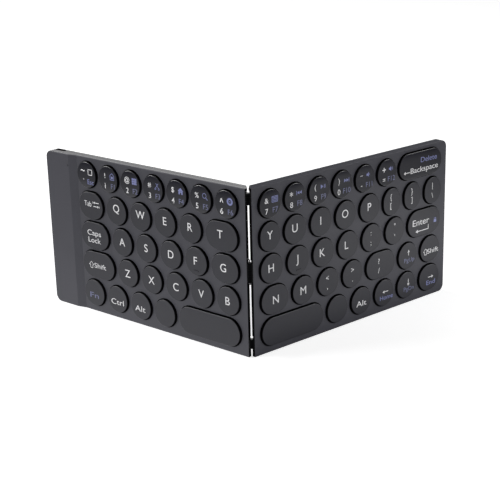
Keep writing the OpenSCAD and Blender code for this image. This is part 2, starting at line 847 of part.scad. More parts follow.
left_sheet_end = left_field_end + bar_margin;
right_sheet_end = bay_end - bay_gap;

module left_support_plate() {
    color("#a3a5a8")
        place_left()
            sheet(plate_start, left_sheet_end, floor_top, plate_thickness, left_screw_places);
}

module right_support_plate() {
    color("#a3a5a8")
        place_right()
            sheet(plate_start, right_sheet_end, floor_top, plate_thickness, right_screw_places);
}

module dome_sheet(keys, end, screw_places) {
    sheet(sheet_start, end, plate_top, sheet_thickness, screw_places);
    for (key = keys)
        for (offset = stem_offsets(key[3]))
            translate([key[1] + offset, key[2], sheet_top])
                cylinder(r1 = dome_radius, r2 = dome_tip_radius, h = dome_height);
}

module left_dome_sheet() {
    color("#d8d8d2")
        place_left()
            dome_sheet(left_keys, left_sheet_end, left_screw_places);
}

module right_dome_sheet() {
    color("#d8d8d2")
        place_right()
            dome_sheet(right_keys, right_sheet_end, right_screw_places);
}

// Frame with a round guide for each key stem
module key_frame(keys, end, screw_places) {
    difference() {
        union() {
            sheet(sheet_start, end, sheet_top, frame_thickness, screw_places);
            for (key = keys)
                for (offset = stem_offsets(key[3]))
                    translate([key[1] + offset, key[2], sheet_top])
                        cylinder(r = guide_radius, h = -guide_depth - sheet_top);
        }
        for (key = keys)
            for (offset = stem_offsets(key[3]))
                translate([key[1] + offset, key[2], sheet_top - slack])
                    cylinder(r = guide_bore, h = -guide_depth - sheet_top + 2 * slack);
    }
}

module left_key_frame() {
    color("#e4e4e0")
        place_left()
            key_frame(left_keys, left_sheet_end, left_screw_places);
}

module right_key_frame() {
    color("#e4e4e0")
        place_right()
            key_frame(right_keys, right_sheet_end, right_screw_places);
}

module battery() {
    color("#8f959c")
        place_left()
            translate([battery_x, side_wall + battery_seal, floor_top]) {
                translate([0, battery_seal, 0])
                    cube([battery_width, battery_length - 2 * battery_seal, battery_thickness]);
                translate([battery_width / 8, 0, battery_thickness / 3])
                    cube([battery_width * 3 / 4, battery_length, battery_thickness / 4]);
            }
}

module main_board() {
    color("#1f5c3a")
        place_left()
            union() {
                difference() {
                    translate([board_x, board_y, floor_top])
                        cube([board_width, board_length, board_thickness]);
                    translate([socket_x - socket_width / 2 - socket_gap,
                        panel_height - socket_length - socket_gap, floor_top - slack])
                        cube([board_width, socket_length, board_thickness + 2 * slack]);
                }
                translate([board_x + board_width / 3, board_y + board_length / 4, board_top])
                    cube([chip_width, chip_width, chip_height]);
                translate([lens_x - lens_radius, lens_y - lens_radius, board_top])
                    cube([2 * lens_radius, 2 * lens_radius, lamp_height]);
                translate([board_x + chip_inset, board_y + chip_inset, board_top])
                    cube([chip_width, chip_width / 2, chip_height]);
            }
}

module usb_socket() {
    color("#c3c5c9")
        place_left()
            translate([socket_x, panel_height, socket_z])
                rotate([90, 0, 0]) {
                    difference() {
                        linear_extrude(socket_length)
                            socket_shape(0);
                        translate([0, 0, -slack])
                            linear_extrude(socket_length - tongue_setback + slack)
                                socket_shape(-socket_wall);
                    }
                    translate([-socket_width / 4, -tongue_thickness / 2, tongue_setback])
                        cube([socket_width / 2, tongue_thickness, socket_length - tongue_setback]);
                }
}

module status_lens() {
    color("#dfe6ea")
        place_left()
            translate([lens_x, lens_y, board_top + lamp_height])
                cylinder(r = lens_radius, h = bar_rise - board_top - lamp_height);
}

module magnets(top) {
    for (y = magnet_places)
        translate([magnet_x, y - magnet_length / 2, top - magnet_thickness])
            cube([magnet_width, magnet_length, magnet_thickness]);
}

module left_magnets() {
    color("#9a9a9c")
        place_left()
            magnets(bay_top);
}

module right_magnets() {
    color("#9a9a9c")
        place_right()
            magnets(-deck_thickness);
}

// Cover screws from the back, and the screws of the hinge plate
module screws(places) {
    for (place = places)
        translate([place[0], place[1], -panel_thickness]) {
            cylinder(r = screw_head, h = head_thickness);
            cylinder(r = screw_radius, h = head_thickness + screw_length);
        }
    for (y = leaf_screw_places) {
        translate([leaf_screw_x, y, leaf_top])
            cylinder(r = leaf_screw_head, h = head_thickness);
        translate([leaf_screw_x, y, leaf_top - leaf_screw_length])
            cylinder(r = screw_radius, h = leaf_screw_length + head_thickness);
    }
}

module left_screws() {
    color("#707275")
        place_left()
            screws(left_screw_places);
}

module right_screws() {
    color("#707275")
        place_right()
            screws(right_screw_places);
}

module feet() {
    for (place = foot_places)
        translate([place[0], place[1], -panel_thickness - foot_thickness])
            cylinder(r = foot_radius, h = foot_thickness);
}

module left_feet() {
    color("#2b2b2b")
        place_left()
            feet();
}

module right_feet() {
    color("#2b2b2b")
        place_right()
            feet();
}

// Half of a key's section: top, rounded rim and skirt
module cap_section(radius) {
    difference() {
        rim_section(radius, -skirt_depth, key_rise, key_rim);
        translate([-slack, -skirt_depth - slack])
            square([radius - skirt_wall + slack,
                skirt_depth + slack + key_rise - cap_thickness]);
    }
}

// Hollow key with its stems; a key that is wider or narrower than it is high has two round ends
module cap(width, height) {
    radius = min(width, height) / 2 - key_gap;
    straight = abs(width - height);
    rotate([0, 0, width < height ? 90 : 0]) {
        if (straight < 0.01)
            rotate_extrude()
                cap_section(radius);
        else {
            for (side = [-1, 1])
                translate([side * straight / 2, 0, 0])
                    rotate([0, 0, side > 0 ? -90 : 90])
                        rotate_extrude(angle = 180)
                            cap_section(radius);
            translate([-straight / 2, 0, 0])
                rotate([90, 0, 90])
                    linear_extrude(straight) {
                        cap_section(radius);
                        mirror([1, 0])
                            cap_section(radius);
                    }
        }
    }
    for (offset = stem_offsets(width))
        translate([offset, 0, -stem_depth])
            difference() {
                cylinder(r = stem_radius, h = stem_depth + key_rise - cap_thickness / 2);
                translate([0, 0, -slack])
                    cylinder(r = stem_bore, h = stem_depth + key_rise - cap_thickness + slack);
            }
}

module keys_of(keys, name) {
    color(search("number", name) && len(name) > 13 ? "#2d2d32" : "#404044")
        for (key = keys)
            if (key[0] == name)
                translate([key[1], key[2], 0])
                    cap(key[3], key[4]);
}

module homing_bar(keys, name) {
    for (key = keys)
        if (key[0] == name)
            translate([key[1] - homing_length / 2, key[2] - homing_offset - homing_width / 2,
                key_rise - cap_thickness / 2])
                cube([homing_length, homing_width, cap_thickness / 2 + homing_rise]);
}

module left_key(name) {
    place_left()
        keys_of(left_keys, name);
}

module right_key(name) {
    place_right()
        keys_of(right_keys, name);
}

module key_f() {
    color("#404044")
        place_left()
            union() {
                keys_of(left_keys, "key_f");
                homing_bar(left_keys, "key_f");
            }
}

module key_j() {
    color("#404044")
        place_right()
            union() {
                keys_of(right_keys, "key_j");
                homing_bar(right_keys, "key_j");
            }
}

left_base_cover();
left_top_cover();
right_base_cover();
right_top_cover();
left_hinge_leaf();
right_hinge_leaf();
hinge_pins();
left_link_cable();
right_link_cable();
left_support_plate();
right_support_plate();
left_dome_sheet();
right_dome_sheet();
left_key_frame();
right_key_frame();
battery();
main_board();
usb_socket();
status_lens();
left_magnets();
right_magnets();
left_screws();
right_screws();
left_feet();
right_feet();
left_key("key_q");  // key_q
left_key("key_w");  // key_w
left_key("key_e");  // key_e
left_key("key_r");  // key_r
left_key("key_t");  // key_t
left_key("key_a");  // key_a
left_key("key_s");  // key_s
left_key("key_d");  // key_d
key_f();
left_key("key_g");  // key_g
left_key("key_z");  // key_z
left_key("key_x");  // key_x
left_key("key_c");  // key_c
left_key("key_v");  // key_v
left_key("key_b");  // key_b
right_key("key_y");  // key_y
right_key("key_u");  // key_u
right_key("key_i");  // key_i
right_key("key_o");  // key_o
right_key("key_p");  // key_p
right_key("key_h");  // key_h
key_j();
right_key("key_k");  // key_k
right_key("key_l");  // key_l
right_key("key_n");  // key_n
right_key("key_m");  // key_m
left_key("key_space_left");  // key_space_left
right_key("key_space_right");  // key_space_right
right_key("key_enter");  // key_enter
right_key("key_backspace");  // key_backspace
left_key("keys_number_left");  // keys_number_left
right_key("keys_number_right");  // keys_number_right
left_key("keys_control_left");  // keys_control_left
right_key("keys_control_right");  // keys_control_right
right_key("keys_punctuation");  // keys_punctuation
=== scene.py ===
"""Folding keyboard in two hinged halves, standing half folded on its front edges."""
import json
import math

import bmesh
import bpy
from mathutils import Matrix, Vector


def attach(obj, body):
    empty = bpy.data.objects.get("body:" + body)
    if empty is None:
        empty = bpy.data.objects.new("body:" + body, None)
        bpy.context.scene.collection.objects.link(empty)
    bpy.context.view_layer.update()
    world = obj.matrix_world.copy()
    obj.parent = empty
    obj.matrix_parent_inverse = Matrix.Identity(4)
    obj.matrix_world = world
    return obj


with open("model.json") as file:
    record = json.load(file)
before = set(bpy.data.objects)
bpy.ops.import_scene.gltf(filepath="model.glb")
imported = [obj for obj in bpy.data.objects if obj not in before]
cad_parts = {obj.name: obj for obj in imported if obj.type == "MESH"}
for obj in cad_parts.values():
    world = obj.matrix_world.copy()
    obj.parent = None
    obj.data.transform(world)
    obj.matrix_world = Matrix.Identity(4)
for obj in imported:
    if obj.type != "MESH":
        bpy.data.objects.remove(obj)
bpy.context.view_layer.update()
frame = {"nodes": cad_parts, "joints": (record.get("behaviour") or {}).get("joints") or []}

MM = 0.001

# ---------------------------------------------------------------- the two halves
# A place on a half is written as x out from its hinge end, y up from its front edge and z out of
# its deck, in millimetres, as in the part's source.
# Each half is turned this far back from flat, about an axis at this x and z.
FOLD_BACK = math.radians(40.5)
AXIS_X, AXIS_Z = -3.05, 1.6
# Words run towards the hinge on the left half, and away from it on the right half.
READING = {"left": -1, "right": 1}
fold = next(j for j in frame["joints"] if j["name"] == "fold")
hinge = Vector((fold["pos_m"][0], fold["pos_m"][1], 0)) / MM


def half_matrix(side):
    """From places on a half to the standing frame, in metres."""
    along = Vector((READING[side] * math.cos(FOLD_BACK), math.sin(FOLD_BACK), 0))
    out = Vector((READING[side] * math.sin(FOLD_BACK), -math.cos(FOLD_BACK), 0))
    origin = hinge - along * AXIS_X - out * AXIS_Z
    columns = Matrix((along, Vector((0, 0, 1)), out)).transposed().to_4x4()
    return Matrix.Scale(MM, 4) @ Matrix.Translation(origin) @ columns


def direction(side, *way):
    """Direction on a half as a direction of the standing frame."""
    return (half_matrix(side).to_3x3() @ Vector(way)).normalized()


def outward(side):
    """Direction that the keys of a half face."""
    return direction(side, 0, 0, 1)


# ---------------------------------------------------------------- camera
# Place and turn as fitted to the photo's edges and key holes, in millimetres and degrees
CAMERA_FROM_HINGE = (1.142, -608.355, 259.013)
LOOK_AZIMUTH, LOOK_DOWN, ROLL = (math.radians(a) for a in (-0.0774, 18.0596, -1.4291))
FOCAL_PIXELS, FRAME_PIXELS = 1260, 500

lens = bpy.data.cameras.new("photo_camera")
lens.sensor_width = 36
lens.lens = FOCAL_PIXELS * lens.sensor_width / FRAME_PIXELS
lens.clip_start, lens.clip_end = 0.05, 50
camera = bpy.data.objects.new("photo_camera", lens)
ahead = Vector((math.sin(LOOK_AZIMUTH) * math.cos(LOOK_DOWN),
                math.cos(LOOK_AZIMUTH) * math.cos(LOOK_DOWN), -math.sin(LOOK_DOWN)))
level = ahead.cross(Vector((0, 0, 1))).normalized()
upright = level.cross(ahead)
across = math.cos(ROLL) * level + math.sin(ROLL) * upright
over = math.cos(ROLL) * upright - math.sin(ROLL) * level
camera.matrix_world = (Matrix.Translation((hinge + Vector(CAMERA_FROM_HINGE)) * MM)
                       @ Matrix((across, over, -ahead)).transposed().to_4x4())
bpy.context.scene.collection.objects.link(camera)
bpy.context.scene.camera = camera


# ---------------------------------------------------------------- materials
def linear(colour):
    """Linear colour of an sRGB hex value."""
    parts = [int(colour[i:i + 2], 16) / 255 for i in (1, 3, 5)]
    return tuple(c / 12.92 if c <= 0.04045 else ((c + 0.055) / 1.055) ** 2.4 for c in parts) + (1,)


def add(tree, kind, inputs, **settings):
    """Adds a node with its settings, and sets or links its inputs."""
    made = tree.nodes.new(kind)
    for name, value in settings.items():
        setattr(made, name, value)
    for name, value in inputs.items():
        if isinstance(value, bpy.types.NodeSocket):
            tree.links.new(value, made.inputs[name])
        else:
            made.inputs[name].default_value = value
    return made


def new_material(name):
    """An empty node material, its tree, and the coordinates on its surface."""
    made = bpy.data.materials.new(name)
    made.use_nodes = True
    made.node_tree.nodes.clear()
    return made, made.node_tree, add(made.node_tree, "ShaderNodeTexCoord", {})


def finished(made, surface):
    """The material, once its surface is shown."""
    add(made.node_tree, "ShaderNodeOutputMaterial", {"Surface": surface.outputs[0]})
    return made


# Nearly all values of a noise lie between these two.
NOISE_LOW, NOISE_HIGH = 0.3, 0.7


def mottled(tree, colour, noise, least, most):
    """A colour that a noise makes a little darker and lighter."""
    share = add(tree, "ShaderNodeMapRange",
                {"Value": noise.outputs["Fac"], "From Min": NOISE_LOW, "From Max": NOISE_HIGH,
                 "To Min": least, "To Max": most})
    return add(tree, "ShaderNodeVectorMath", {0: colour, "Scale": share.outputs[0]},
               operation="SCALE").outputs["Vector"]


def facing(tree, place, way):
    """How squarely the surface turns one way: 1 is straight there, and 0 edge on."""
    return add(tree, "ShaderNodeVectorMath", {0: place.outputs["Normal"], 1: tuple(way)},
               operation="DOT_PRODUCT").outputs["Value"]


# Where a deck has its key holes, in millimetres up from its front edge and out from its hinge end,
# and how far the edge of its lip inside the hinge is painted dark as shade
HOLES_UP, HOLES_OUT, LIP_PAINTED_SHADE = (2.5, 90.5), (3, 145), 0.45
# A wall of a hole turns at most this much towards the keys' side or away from it.
WALL_SLOPE = 0.3


def deck_outside_painted_shade(tree, place, side):
    """0 on the painted shade of a deck, its key holes' walls and its lip's edge; 1 on the rest."""
    way = direction(side, 1, 0, 0)
    from_hinge = half_matrix(side).translation.dot(way)
    along = add(tree, "ShaderNodeVectorMath", {0: place.outputs["Object"], 1: tuple(way)},
                operation="DOT_PRODUCT").outputs["Value"]
    height = add(tree, "ShaderNodeSeparateXYZ", {0: place.outputs["Object"]}).outputs["Z"]
    (low, high), (near, far) = HOLES_UP, HOLES_OUT
    walls = 1.0
    for value, middle, within in (
            (facing(tree, place, outward(side)), 0.0, WALL_SLOPE),
            (height, (low + high) / 2 * MM, (high - low) / 2 * MM),
            (along, from_hinge + (near + far) / 2 * MM, (far - near) / 2 * MM)):
        here = add(tree, "ShaderNodeMath", {0: value, 1: middle, 2: within}, operation="COMPARE")
        walls = add(tree, "ShaderNodeMath", {0: here.outputs[0], 1: walls},
                    operation="MULTIPLY").outputs[0]
    lip = add(tree, "ShaderNodeMath", {0: along, 1: from_hinge + LIP_PAINTED_SHADE * MM},
              operation="LESS_THAN")
    painted_dark = add(tree, "ShaderNodeMath", {0: walls, 1: lip.outputs[0]}, operation="MAXIMUM")
    return add(tree, "ShaderNodeMath", {0: 1.0, 1: painted_dark.outputs[0]},
               operation="SUBTRACT").outputs[0]


# Colour of painted shade, laid on faces that hardly any light reaches
PAINTED_SHADE_COLOUR = "#0B0B0D"


def with_painted_shade(tree, lit, base, shine):
    """Colour and gloss of a surface with painted shade: dark and dull where lit is 0."""
    # 6 and 7 are the two colours of a mix
    colour = add(tree, "ShaderNodeMix", {0: lit, 6: linear(PAINTED_SHADE_COLOUR), 7: base},
                 data_type="RGBA")
    gloss = add(tree, "ShaderNodeMath", {0: lit, 1: shine}, operation="MULTIPLY")
    return colour.outputs[2], gloss.outputs[0]


# In millimetres: width and relief of the mould's grain as drawn, length of the melt's flow marks
GRIT, GRIT_RELIEF, FLOW_MARK = 0.55, 0.03, 30
# How far the grain takes the roughness up and down
GRIT_DULL = 0.05
# The hollow across the number keys, in millimetres: height of its middle, half its width, depth
DISH_MIDDLE, DISH_HALF, DISH_DEPTH = 81.9, 7.5, 0.7
# Upwards its gloss fades to this share, between these shares of the half width from its middle,
# as painted shade on the upper part of each number key.
PAINTED_SHADE_GLOSS, FADE_FROM, FADE_TO = 0.05, -0.6, 0.9


def moulded_plastic(name, colour, roughness=0.5, gloss=0.25, shadow=None, deck=None, dished_and_shaded=False,
                    edge=None):
    """ABS or acetal from a spark eroded mould: a fine even grain that takes the shine off.

    The real grit is about 0.05 mm; it is drawn ten times as coarse so that it shows. A shadow is a
    direction, and how squarely a face turns there where it is painted dark as shade and where it is
    plain. A deck is the half whose key holes have walls painted dark as shade. Faces that turn
    upwards have the gloss of the edge instead, a painted highlight where that gloss is high.
    """
    made, tree, place = new_material(name)
    grit = add(tree, "ShaderNodeTexNoise",
               {"Vector": place.outputs["Object"], "Scale": 1 / (GRIT * MM), "Detail": 3.0,
                "Roughness": 0.6})
    flow = add(tree, "ShaderNodeTexNoise",
               {"Vector": place.outputs["Object"], "Scale": 1 / (FLOW_MARK * MM), "Detail": 2.0})
    base = mottled(tree, linear(colour)[:3], flow, least=0.94, most=1.06)
    base = mottled(tree, base, grit, least=0.93, most=1.07)
    rough = add(tree, "ShaderNodeMapRange",
                {"Value": grit.outputs["Fac"], "From Min": NOISE_LOW, "From Max": NOISE_HIGH,
                 "To Min": roughness - GRIT_DULL, "To Max": roughness + GRIT_DULL}).outputs[0]
    bump = add(tree, "ShaderNodeBump",
               {"Height": grit.outputs["Fac"], "Strength": 0.35, "Distance": GRIT_RELIEF * MM})
    shine = gloss
    if dished_and_shaded:
        height = add(tree, "ShaderNodeSeparateXYZ", {0: place.outputs["Object"]})
        off = add(tree, "ShaderNodeMapRange",
                  {"Value": height.outputs["Z"], "From Min": (DISH_MIDDLE - DISH_HALF) * MM,
                   "From Max": (DISH_MIDDLE + DISH_HALF) * MM, "To Min": -1.0, "To Max": 1.0})
        # Painted shade: the gloss fades towards the upper end of each number key.
        fade = add(tree, "ShaderNodeMapRange",
                   {"Value": off.outputs[0], "From Min": FADE_FROM, "From Max": FADE_TO,
                    "To Min": 1.0, "To Max": PAINTED_SHADE_GLOSS})
        shine = add(tree, "ShaderNodeMath", {0: fade.outputs[0], 1: shine},
                    operation="MULTIPLY").outputs[0]
        hollow = add(tree, "ShaderNodeMath", {0: off.outputs[0], 1: 2.0}, operation="POWER")
        bump = add(tree, "ShaderNodeBump",
                   {"Height": hollow.outputs[0], "Strength": 1.0, "Distance": DISH_DEPTH * MM,
                    "Normal": bump.outputs["Normal"]})
    if edge:
        # Painted highlight: faces that turn upwards take the gloss and roughness of the edge.
        sheen_share = add(tree, "ShaderNodeMapRange",
                     {"Value": facing(tree, place, (0, 0, 1)), "From Min": edge["plain_at"],
                      "From Max": edge["whole_at"]})
        shine, rough = (
            add(tree, "ShaderNodeMix",
                {"Factor": sheen_share.outputs[0], "A": plain, "B": edge[kind]}).outputs["Result"]
            for plain, kind in ((shine, "gloss"), (rough, "roughness")))
    # Painted shade: faces that turn the shadow's way are darkened and dulled.
    if shadow:
        lit = add(tree, "ShaderNodeMapRange",
                  {"Value": facing(tree, place, shadow["way"]), "From Min": shadow["dark_at"],
                   "From Max": shadow["plain_at"]})
        base, shine = with_painted_shade(tree, lit.outputs[0], base, shine)
    # Painted shade on the walls of the key holes and on the edge of the lip
    if deck:
        base, shine = with_painted_shade(tree, deck_outside_painted_shade(tree, place, deck), base, shine)
    surface = add(tree, "ShaderNodeBsdfPrincipled",
                  {"Base Color": base, "Roughness": rough, "IOR": 1.54,
                   "Specular IOR Level": shine, "Normal": bump.outputs["Normal"]})
    # the usual gloss, for uses of the model that can't take one that varies
    surface.inputs["Specular IOR Level"].default_value = gloss
    return finished(made, surface)


# Width and relief of the coat's orange peel, in millimetres
PEEL, PEEL_RELIEF = 0.4, 0.01


def coated_steel(name, colour):
    """Steel strip with a baked black coat: an even dark film with hardly any gloss."""
    made, tree, place = new_material(name)
    peel = add(tree, "ShaderNodeTexNoise",
               {"Vector": place.outputs["Object"], "Scale": 1 / (PEEL * MM), "Detail": 2.0})
    rough = add(tree, "ShaderNodeMapRange",
                {"Value": peel.outputs["Fac"], "To Min": 0.32, "To Max": 0.45})
    bump = add(tree, "ShaderNodeBump",
               {"Height": peel.outputs["Fac"], "Strength": 0.2, "Distance": PEEL_RELIEF * MM})
    return finished(made, add(tree, "ShaderNodeBsdfPrincipled",
                              {"Base Color": linear(colour), "Roughness": rough.outputs[0],
                               "IOR": 1.5, "Specular IOR Level": 0.015,
                               "Normal": bump.outputs["Normal"]}))


# Width and relief of the lines left in metal, in millimetres; the real ones are about 0.05 mm wide
# and are drawn coarser so that they show. Last, how far they take its roughness up and down
METAL_LINE, LINE_RELIEF, LINE_DULL = 0.2, 0.005, 0.08
# Scale of the pattern each way: drawn out upright into lines, or an even grain
LINES_UPRIGHT, NO_LINES = (1, 1, 0.05), (1, 1, 1)


def bare_metal(name, colour, roughness, width=METAL_LINE, run=LINES_UPRIGHT):
    """Bare, plated or blackened metal, with the lines of rolling or the grain of plating."""
    made, tree, place = new_material(name)
    along = add(tree, "ShaderNodeMapping", {"Vector": place.outputs["Object"], "Scale": run})
    lines = add(tree, "ShaderNodeTexNoise",
                {"Vector": along.outputs["Vector"], "Scale": 1 / (width * MM), "Detail": 3.0})
    rough = add(tree, "ShaderNodeMapRange",
                {"Value": lines.outputs["Fac"], "To Min": roughness - LINE_DULL,
                 "To Max": roughness + LINE_DULL})
    bump = add(tree, "ShaderNodeBump",
               {"Height": lines.outputs["Fac"], "Strength": 0.2, "Distance": LINE_RELIEF * MM})
    return finished(made, add(tree, "ShaderNodeBsdfPrincipled",
                              {"Base Color": linear(colour), "Metallic": 1.0,
                               "Roughness": rough.outputs[0], "Normal": bump.outputs["Normal"]}))


# Width and relief of the dust on rubber and of the creases of the film, in millimetres
DUST, DUST_RELIEF = 1.2, 0.02
CREASE, CREASE_RELIEF = 4, 0.1


def soft_rubber(name, colour, roughness):
    """Moulded silicone or rubber: no gloss, with a faint dusty mottle."""
    made, tree, place = new_material(name)
    dust = add(tree, "ShaderNodeTexNoise",
               {"Vector": place.outputs["Object"], "Scale": 1 / (DUST * MM), "Detail": 4.0})
    base = mottled(tree, linear(colour)[:3], dust, least=0.9, most=1.12)
    bump = add(tree, "ShaderNodeBump",
               {"Height": dust.outputs["Fac"], "Strength": 0.3, "Distance": DUST_RELIEF * MM})
    return finished(made, add(tree, "ShaderNodeBsdfPrincipled",
                              {"Base Color": base, "Roughness": roughness, "IOR": 1.45,
                               "Normal": bump.outputs["Normal"]}))


def pouch_film(name, colour):
    """Aluminium laminate round a battery cell: silvery, with soft creases."""
    made, tree, place = new_material(name)
    crease = add(tree, "ShaderNodeTexNoise",
                 {"Vector": place.outputs["Object"], "Scale": 1 / (CREASE * MM), "Detail": 2.0})
    bump = add(tree, "ShaderNodeBump",
               {"Height": crease.outputs["Fac"], "Strength": 0.4, "Distance": CREASE_RELIEF * MM})
    return finished(made, add(tree, "ShaderNodeBsdfPrincipled",
                              {"Base Color": linear(colour), "Metallic": 0.8, "Roughness": 0.4,
                               "Normal": bump.outputs["Normal"]}))


# A wave texture has a band for each 0.314 of this, so the copper tracks lie 1.9 mm apart.
TRACK_SCALE = 6
# How far along the wave the mask ends and the copper begins
MASK_TO, COPPER_FROM = 0.6, 0.75


def solder_mask(name, colour, copper):
    """Glass fibre circuit board: smooth green solder mask, paler over its copper tracks."""
    made, tree, place = new_material(name)
    tracks = add(tree, "ShaderNodeTexWave",
                 {"Vector": place.outputs["Object"], "Scale": 1 / (TRACK_SCALE * MM),
                  "Distortion": 2.5},
                 bands_direction="Z")
    lines = add(tree, "ShaderNodeValToRGB", {"Fac": tracks.outputs["Fac"]})
    for stop, position, shade in zip(lines.color_ramp.elements, (MASK_TO, COPPER_FROM),
                                     (colour, copper)):
        stop.color, stop.position = linear(shade), position
    return finished(made, add(tree, "ShaderNodeBsdfPrincipled",
                              {"Base Color": lines.outputs["Color"], "Roughness": 0.3,
                               "IOR": 1.55}))


# Grain of the frosting, drawn coarser than it is so that it shows, and width of the places where
# the ink pad lifts off, in millimetres
FROST, PAD_LIFT = 0.3, 0.5


def smoked_acrylic(name, colour):
    """Moulded light guide: smoked acrylic, frosted a little at its end so that the lamp spreads."""
    made, tree, place = new_material(name)
    frost = add(tree, "ShaderNodeTexNoise",
                {"Vector": place.outputs["Object"], "Scale": 1 / (FROST * MM), "Detail": 2.0})
    rough = add(tree, "ShaderNodeMapRange",
                {"Value": frost.outputs["Fac"], "To Min": 0.2, "To Max": 0.4})
    return finished(made, add(tree, "ShaderNodeBsdfPrincipled",
                              {"Base Color": linear(colour), "Roughness": rough.outputs[0],
                               "IOR": 1.49, "Transmission Weight": 0.2,
                               "Specular IOR Level": 0.3}))


def pad_printed_ink(name, colour):
    """Pad printed two-component ink, a little uneven where the pad lifts off."""
    made, tree, place = new_material(name)
    lift = add(tree, "ShaderNodeTexNoise",
               {"Vector": place.outputs["Object"], "Scale": 1 / (PAD_LIFT * MM), "Detail": 2.0})
    base = mottled(tree, linear(colour)[:3], lift, least=0.92, most=1.04)
    return finished(made, add(tree, "ShaderNodeBsdfPrincipled",
                              {"Base Color": base, "Roughness": 0.45, "IOR": 1.5}))


DECK_COLOUR, BACK_COLOUR = "#34343B", "#333339"
KEY_COLOUR, NUMBER_COLOUR = "#1D1D24", "#191920"
# How squarely a face turns upwards where it is plain and where it has the whole finish of the edge.
# The long upper edges are shiny on the left half and matt on the right one: a painted highlight
# on the left half's edges only.
LONG_EDGE_SHEEN = {"left": {"gloss": 1.0, "roughness": 0.22, "plain_at": 0.8, "whole_at": 0.95},
             "right": {"gloss": 0.05, "roughness": 0.6, "plain_at": 0.8, "whole_at": 0.95}}
# The keys' upper rims are glossier: painted highlight arcs along them.
KEY_RIM_SHEEN = {"gloss": 0.3, "roughness": 0.35, "plain_at": 0.25, "whole_at": 0.4}
NUMBER_RIM_SHEEN = {"gloss": 0.6, "roughness": 0.25, "plain_at": 0.2, "whole_at": 0.35}

finishes = {
    "hinge_pins": bare_metal("pin_black_oxide_steel", "#26272A", 0.35),
    "battery": pouch_film("battery_film", "#8F959C"),
    "main_board": solder_mask("board_solder_mask", "#1F5C3A", "#3E7A4E"),
    "usb_socket": coated_steel("socket_black_plated_steel", "#060607"),
    "status_lens": smoked_acrylic("lamp_smoked_light_guide", "#0A0B10"),
}
in_both_halves = {
    "hinge_leaf": coated_steel("hinge_black_steel", "#050506"),
    "link_cable": soft_rubber("cable_insulation", "#1E1E20", 0.6),
    "support_plate": bare_metal("plate_rolled_steel", "#A3A5A8", 0.35),
    "dome_sheet": soft_rubber("dome_silicone", "#2A2A2D", 0.6),
    "key_frame": moulded_plastic("frame_black_acetal", "#0E0E10", gloss=0.05),
    "magnets": bare_metal("magnet_nickel", "#9A9A9C", 0.3, run=NO_LINES),
    "screws": bare_metal("screw_dark_zinc", "#707275", 0.35, width=0.1, run=NO_LINES),
    "feet": soft_rubber("foot_black_rubber", "#242424", 0.85),
}
key_finish, number_finish = {}, {}
for side in READING:
    for node, finish in in_both_halves.items():
        finishes[side + "_" + node] = finish
    finishes[side + "_base_cover"] = moulded_plastic("back_abs_" + side, BACK_COLOUR,
                                                     edge=LONG_EDGE_SHEEN[side])
    # painted shade darkens the end of a deck inside the hinge, the walls of a key, and the side of
    # a key's rim that faces the other half
    deck_end_shade = {"way": direction(side, -1, 0, 0), "dark_at": 0.7, "plain_at": 0.35}
    key_wall_shade = {"way": direction(side, 0.45, 0, 0.9), "dark_at": 0.4, "plain_at": 0.62}
    finishes[side + "_top_cover"] = moulded_plastic(
        "deck_abs_" + side, DECK_COLOUR, shadow=deck_end_shade, deck=side, edge=LONG_EDGE_SHEEN[side])
    key_finish[side] = moulded_plastic(
        "key_abs_" + side, KEY_COLOUR, roughness=0.48, shadow=key_wall_shade, edge=KEY_RIM_SHEEN)
    number_finish[side] = moulded_plastic(
        "number_key_abs_" + side, NUMBER_COLOUR, roughness=0.34, gloss=0.36, shadow=key_wall_shade,
        dished_and_shaded=True, edge=NUMBER_RIM_SHEEN)
WHITE, BLUE, GREY = "white", "blue", "grey"
inks = {
    WHITE: pad_printed_ink("legend_white_ink", "#D6D6D8"),
    BLUE: pad_printed_ink("legend_blue_ink", "#6C72A2"),
    GREY: pad_printed_ink("legend_grey_blue_ink", "#5B5F80"),
}

# ---------------------------------------------------------------- places of the keys
# Widths of the holes and of the ribs between them, distance between rows, height of the first row's
# middle, and how far the keys stand out of the deck
KEY, NUMBER, RIB, NUMBER_RIB = 16.8, 16.1, 1.8, 1.2
ROW_PITCH, FIRST_ROW, KEY_TOP = 17.55, 11.7, 1.3
NUMBER_ROW = 4
# Where the rows start and end
MARGIN = {"left": 4.6, "right": 4.15}
ROW_END = {"left": 124.5, "right": 144.6}


def letter_keys(names, **widths):
    """Keys with a body of their own, of the usual width unless another is given."""
    return [("key_" + n, widths.get(n, KEY)) for n in names]


CONTROL = {"left": ("keys_control_left", KEY), "right": ("keys_control_right", KEY)}
PUNCTUATION = ("keys_punctuation", KEY)
# Each row from the front one up: its keys from the hinge outwards as (body, width of the hole),
# with 0 for the outer key, which takes what is left of the row
ROWS = {
    "left": [
        [("key_space_left", 45), *[CONTROL["left"]] * 3, ("keys_control_left", 0)],
        [*letter_keys("bvcxz"), ("keys_control_left", 0)],
        [*letter_keys("gfdsa", g=20), ("keys_control_left", 0)],
        [*letter_keys("trewq", t=23.3), ("keys_control_left", 0)],
        [("keys_number_left", NUMBER)] * 6 + [("keys_number_left", 0)],
    ],
    "right": [
        [("key_space_right", 45.8), *[CONTROL["right"]] * 4, ("keys_control_right", 0)],
        [*letter_keys("nm", n=20.3), PUNCTUATION, PUNCTUATION, ("keys_punctuation", 24.4),
         CONTROL["right"], ("keys_control_right", 0)],
        [*letter_keys("hjkl"), PUNCTUATION, PUNCTUATION, ("key_enter", 0)],
        [*letter_keys("yuiop", y=15.1), ("keys_punctuation", 15.2), ("keys_punctuation", 15.2),
         ("keys_punctuation", 0)],
        [("keys_number_right", NUMBER)] * 6 + [("key_backspace", 0)],
    ],
}
side_of = {body: side for side in ROWS for row in ROWS[side] for body, width in row}


